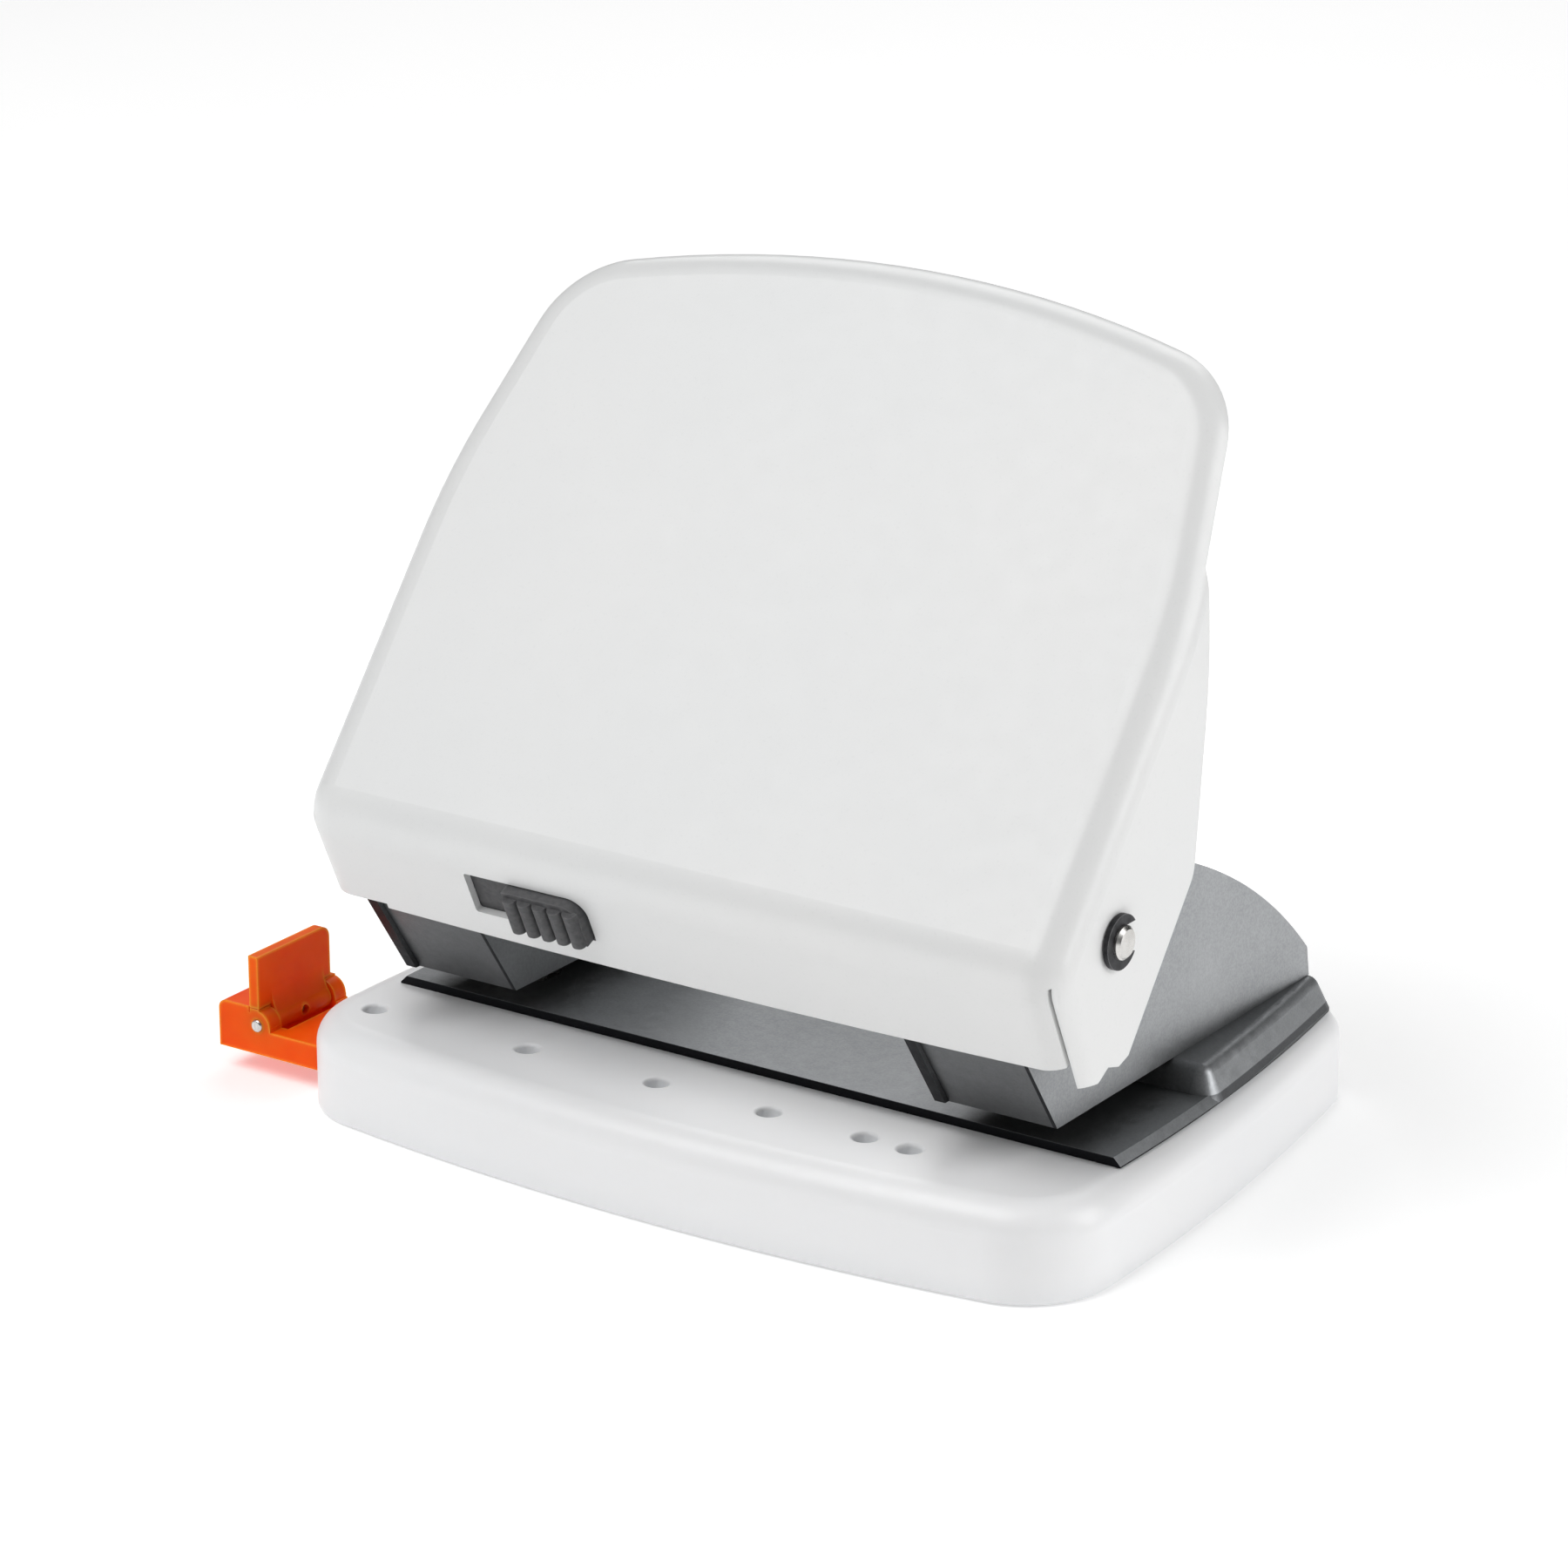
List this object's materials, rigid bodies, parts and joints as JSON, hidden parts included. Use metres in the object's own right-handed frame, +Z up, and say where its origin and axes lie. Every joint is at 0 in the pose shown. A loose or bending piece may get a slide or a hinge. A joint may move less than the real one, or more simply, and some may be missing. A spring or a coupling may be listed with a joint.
{
  "type": "hole punch",
  "caption": "Two-hole punch with a tall pressed handle on a pivot axle, steel punch frames on a moulded base, sliding handle lock and a pull-out paper guide with folding stop.",
  "frame": {"origin": "on the table, under the middle of the handle and the bed, 1.5 mm to the right of the middle between the punches", "axes": "+X across the punch to the user's right, +Y towards the back, where the paper is pushed under the frames from the front, +Z up"},
  "size_m": [0.1318, 0.086, 0.1071],
  "materials": {
    "base_plastic": "moulded, softly glossy white",
    "ring_rubber": "soft moulded rubber",
    "bed_paint": "dark grey satin paint on sheet steel",
    "frame_paint": "mid grey satin paint on folded steel",
    "handle_paint": "off-white satin powder coat on pressed steel",
    "bright_steel": "turned and ground steel",
    "spring_steel": "drawn spring steel",
    "clip_steel": "black phosphated spring steel",
    "lock_plastic": "dark grey moulded plastic, fine texture",
    "lock_copper": "copper-plated steel",
    "guide_plastic": "orange moulded plastic"
  },
  "bodies": {
    "base": {"base_shell": "base_plastic", "anti_slip_ring": "ring_rubber", "bed_plate": "bed_paint", "die_left": "bright_steel", "die_right": "bright_steel", "punch_frame_left": "frame_paint", "punch_frame_right": "frame_paint", "pin_guide_left": "bright_steel", "pin_guide_right": "bright_steel", "return_spring_left": "spring_steel", "return_spring_right": "spring_steel", "pivot_axle": "bright_steel", "axle_spacers": "spring_steel", "axle_clips": "clip_steel", "frame_screws": "bright_steel", "frame_nuts": "bright_steel", "guide_detent": "spring_steel", "lid_hinge_pins": "bright_steel"},
    "handle": {"handle_shell": "handle_paint", "press_lever_left": "frame_paint", "press_lever_right": "frame_paint"},
    "lock": {"lock_button": "lock_plastic", "lock_hook": "lock_copper", "lock_screw": "bright_steel"},
    "punch_left": {"punch_pin_left": "bright_steel", "spring_washer_left": "bright_steel"},
    "punch_right": {"punch_pin_right": "bright_steel", "spring_washer_right": "bright_steel"},
    "guide": {"guide_rail": "guide_plastic", "guide_pin": "bright_steel"},
    "flap": {"guide_flap": "guide_plastic"},
    "chip_lid": {"chip_lid": "base_plastic"}
  },
  "joints": [
    {"name": "handle_press", "type": "hinge", "parent": "base", "child": "handle", "pos_m": [0, -0.0256, 0.043], "axis": [-1, 0, 0], "range_deg": [0, 36], "stiffness_Nm_per_rad": 0.6, "springref_deg": -26.93},
    {"name": "punch_left_slide", "type": "slide", "parent": "base", "child": "punch_left", "axis": [0, 0, -1], "range_m": [0, 0.00905], "deforming": ["return_spring_left"]},
    {"name": "punch_right_slide", "type": "slide", "parent": "base", "child": "punch_right", "axis": [0, 0, -1], "range_m": [0, 0.00905], "deforming": ["return_spring_right"]},
    {"name": "lock_slide", "type": "slide", "parent": "handle", "child": "lock", "axis": [-1, 0, 0], "range_m": [0, 0.006]},
    {"name": "guide_slide", "type": "slide", "parent": "base", "child": "guide", "axis": [-1, 0, 0], "range_m": [-0.006, 0.081]},
    {"name": "flap_fold", "type": "hinge", "parent": "guide", "child": "flap", "pos_m": [-0.0687, -0.0254, 0.00695], "axis": [0, 1, 0], "range_deg": [0, 90]},
    {"name": "chip_lid_hinge", "type": "hinge", "parent": "base", "child": "chip_lid", "pos_m": [0, 0.0376, 0.0022], "axis": [1, 0, 0], "range_deg": [0, 80]}
  ],
  "couplings": [
    {"joint": "punch_left_slide", "follows": "handle_press", "m_per_rad": 0.01436},
    {"joint": "punch_right_slide", "follows": "handle_press", "m_per_rad": 0.01436}
  ]
}
